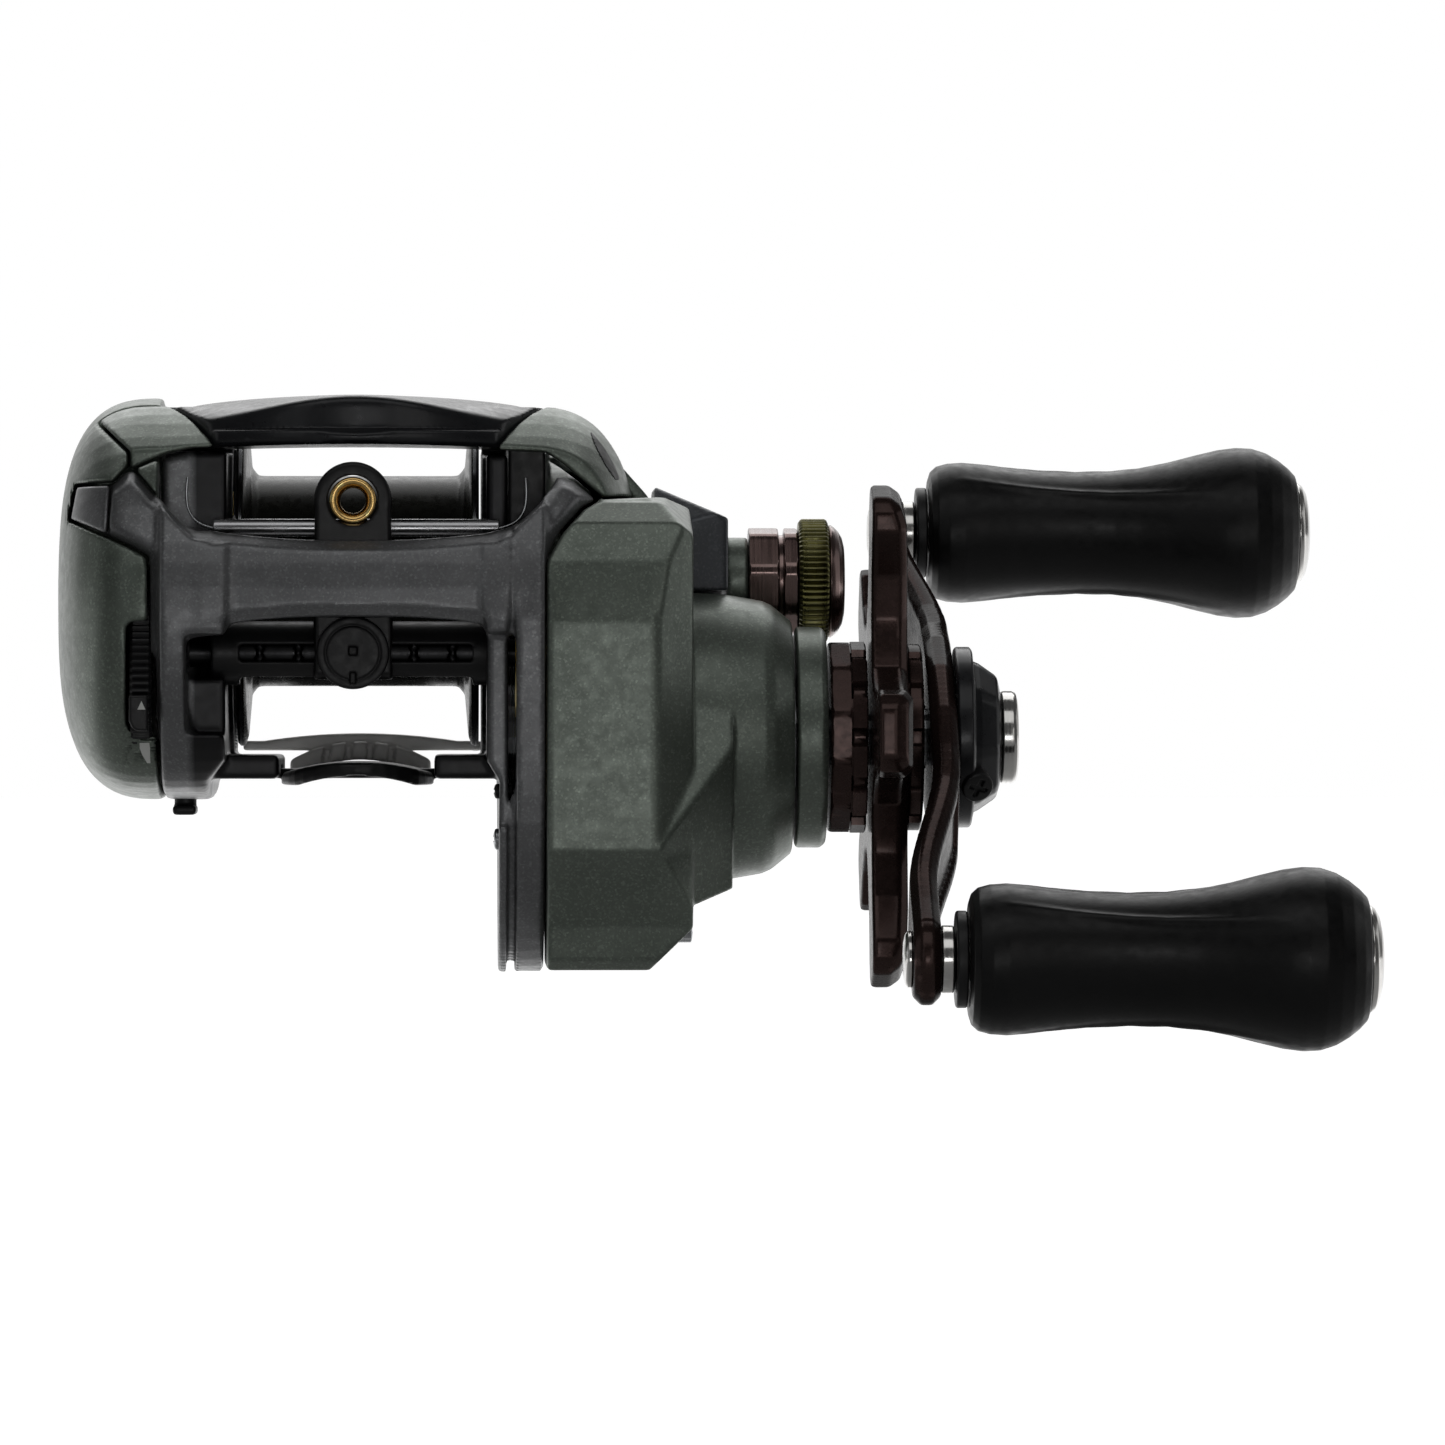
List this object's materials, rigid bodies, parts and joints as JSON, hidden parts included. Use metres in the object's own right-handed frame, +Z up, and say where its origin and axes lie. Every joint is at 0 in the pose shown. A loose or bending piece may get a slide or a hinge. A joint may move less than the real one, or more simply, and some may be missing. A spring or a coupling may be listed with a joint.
{
  "type": "baitcasting reel",
  "caption": "Low-profile left-hand baitcasting reel with palm cover, level-wind line guide, star drag, cast-control cap and crank handle with rubber knobs.",
  "frame": {"origin": "middle of the reel foot's underside, on the crown of its arch", "axes": "+X from the palm side to the handle, -Y to the front where the line leaves, +Z up away from the rod"},
  "size_m": [0.1229, 0.0904, 0.061],
  "materials": {
    "grey_satin": "dark grey metallic satin paint on cast aluminium",
    "green_satin": "dark green metallic satin paint",
    "black_satin": "black satin",
    "brown_anodised": "dark brown anodised, satin",
    "olive_anodised": "olive anodised, knurled",
    "spool_olive": "dark olive anodised, polished",
    "black_rubber": "smooth matte moulded",
    "grey_plastic": "grey, fine moulded texture",
    "black_plastic": "black satin moulded",
    "silver": "turned and polished",
    "steel": "machined",
    "gold": "gold polished insert",
    "brass": "machined brass",
    "carbon": "woven carbon washer",
    "bronze": "machined bronze"
  },
  "bodies": {
    "frame": {"frame": "grey_satin", "reel_foot": "black_plastic", "foot_screw_left": "steel", "foot_screw_right": "steel", "thumb_rest": "black_satin", "gear_side_cover": "green_satin", "boss_collar": "green_satin", "roller_clutch": "steel", "gear_side_bearing": "steel", "drive_shaft_bearing": "steel", "worm_guard": "black_plastic", "guide_rod": "steel", "yoke_spring_1": "steel", "yoke_spring_2": "steel"},
    "palm_cover": {"palm_side_cover": "green_satin", "brake_housing": "black_plastic", "palm_bearing": "steel"},
    "brake_dial": {"brake_dial": "black_plastic"},
    "brake_ring": {"brake_ring": "black_plastic"},
    "brake_race": {"brake_race": "brass"},
    "side_plate_lock": {"side_plate_lock": "black_plastic"},
    "spool": {"spool": "spool_olive", "spool_shaft": "steel", "spool_pin": "steel", "brake_shoe_holder": "black_plastic"},
    "brake_shoe_1": {"brake_shoe_1": "brass"},
    "brake_shoe_2": {"brake_shoe_2": "brass"},
    "brake_shoe_3": {"brake_shoe_3": "brass"},
    "brake_shoe_4": {"brake_shoe_4": "brass"},
    "line_guide": {"line_guide": "black_satin", "guide_ring": "gold", "pawl": "brass", "pawl_cap": "black_plastic"},
    "worm": {"worm_shaft": "steel", "worm_gear": "brass"},
    "handle": {"drive_shaft": "steel", "idle_gear": "brass", "ratchet_wheel": "steel", "drive_gear": "bronze", "drag_washer": "carbon", "pressure_plate": "steel", "clutch_sleeve": "steel", "drag_bushing": "brown_anodised", "handle_plate": "brown_anodised", "nut_cover": "black_plastic", "nut_cap": "silver", "knob_spindle_1": "silver", "knob_spindle_2": "silver"},
    "star": {"star_drag": "brown_anodised"},
    "knob_1": {"knob_1": "black_rubber", "knob_cap_1": "silver"},
    "knob_2": {"knob_2": "black_rubber", "knob_cap_2": "silver"},
    "thumb_bar": {"thumb_bar": "grey_plastic", "clutch_plate": "steel"},
    "yoke": {"clutch_yoke": "steel"},
    "pinion": {"pinion": "brass"},
    "cast_control": {"cast_control_cap": "brown_anodised", "cast_control_ring": "olive_anodised", "friction_disc": "brass"}
  },
  "joints": [
    {"name": "handle_spin", "type": "hinge", "parent": "frame", "child": "handle", "pos_m": [0, -0.01109, 0.0036], "axis": [1, 0, 0], "continuous": true},
    {"name": "pinion_spin", "type": "hinge", "parent": "yoke", "child": "pinion", "pos_m": [0, 0, 0.0186], "axis": [1, 0, 0], "continuous": true},
    {"name": "worm_spin", "type": "hinge", "parent": "frame", "child": "worm", "pos_m": [0, -0.0225, 0.0115], "axis": [1, 0, 0], "continuous": true},
    {"name": "spool_spin", "type": "hinge", "parent": "frame", "child": "spool", "pos_m": [0, 0, 0.0186], "axis": [1, 0, 0], "continuous": true},
    {"name": "star_turn", "type": "hinge", "parent": "handle", "child": "star", "pos_m": [0, -0.01109, 0.0036], "axis": [1, 0, 0], "range_deg": [-180, 180]},
    {"name": "knob_1_spin", "type": "hinge", "parent": "handle", "child": "knob_1", "pos_m": [0, -0.04791, -0.0166], "axis": [1, 0, 0], "continuous": true},
    {"name": "knob_2_spin", "type": "hinge", "parent": "handle", "child": "knob_2", "pos_m": [0, 0.02573, 0.0238], "axis": [1, 0, 0], "continuous": true},
    {"name": "cast_control_turn", "type": "hinge", "parent": "frame", "child": "cast_control", "pos_m": [0, 0, 0.0186], "axis": [1, 0, 0], "range_deg": [-180, 180]},
    {"name": "brake_dial_turn", "type": "hinge", "parent": "palm_cover", "child": "brake_dial", "pos_m": [0, -0.0214, 0.0093], "axis": [1, 0, 0], "range_deg": [0, 180]},
    {"name": "brake_ring_turn", "type": "hinge", "parent": "palm_cover", "child": "brake_ring", "pos_m": [0, 0, 0.0186], "axis": [1, 0, 0], "range_deg": [-110, 0]},
    {"name": "brake_race_slide", "type": "slide", "parent": "palm_cover", "child": "brake_race", "axis": [1, 0, 0], "range_m": [0, 0.001]},
    {"name": "side_lock_turn", "type": "hinge", "parent": "frame", "child": "side_plate_lock", "pos_m": [-0.0164, -0.008, 0], "axis": [0, 0, 1], "range_deg": [0, 90]},
    {"name": "palm_cover_slide", "type": "slide", "parent": "frame", "child": "palm_cover", "axis": [-1, 0, 0], "range_m": [0, 0.02]},
    {"name": "line_guide_slide", "type": "slide", "parent": "frame", "child": "line_guide", "axis": [1, 0, 0], "range_m": [-0.008, 0.008]},
    {"name": "thumb_bar_lift", "type": "slide", "parent": "frame", "child": "thumb_bar", "axis": [0, 0, 1], "range_m": [0, 0.004]},
    {"name": "yoke_slide", "type": "slide", "parent": "frame", "child": "yoke", "axis": [1, 0, 0], "range_m": [-0.0015, 0]},
    {"name": "brake_shoe_1_slide", "type": "slide", "parent": "spool", "child": "brake_shoe_1", "axis": [0, 0, 1], "range_m": [0, 0.0006]},
    {"name": "brake_shoe_2_slide", "type": "slide", "parent": "spool", "child": "brake_shoe_2", "axis": [0, -1, 0], "range_m": [0, 0.0006]},
    {"name": "brake_shoe_3_slide", "type": "slide", "parent": "spool", "child": "brake_shoe_3", "axis": [0, 0, -1], "range_m": [0, 0.0006]},
    {"name": "brake_shoe_4_slide", "type": "slide", "parent": "spool", "child": "brake_shoe_4", "axis": [0, 1, 0], "range_m": [0, 0.0006]}
  ],
  "couplings": [
    {"joint": "pinion_spin", "follows": "handle_spin", "ratio": -8.1},
    {"joint": "worm_spin", "follows": "handle_spin", "ratio": -1.5},
    {"joint": "brake_ring_turn", "follows": "brake_dial_turn", "ratio": -0.54167},
    {"joint": "brake_race_slide", "follows": "brake_dial_turn", "m_per_rad": 0.00028},
    {"joint": "yoke_slide", "follows": "thumb_bar_lift", "ratio": -0.375}
  ]
}
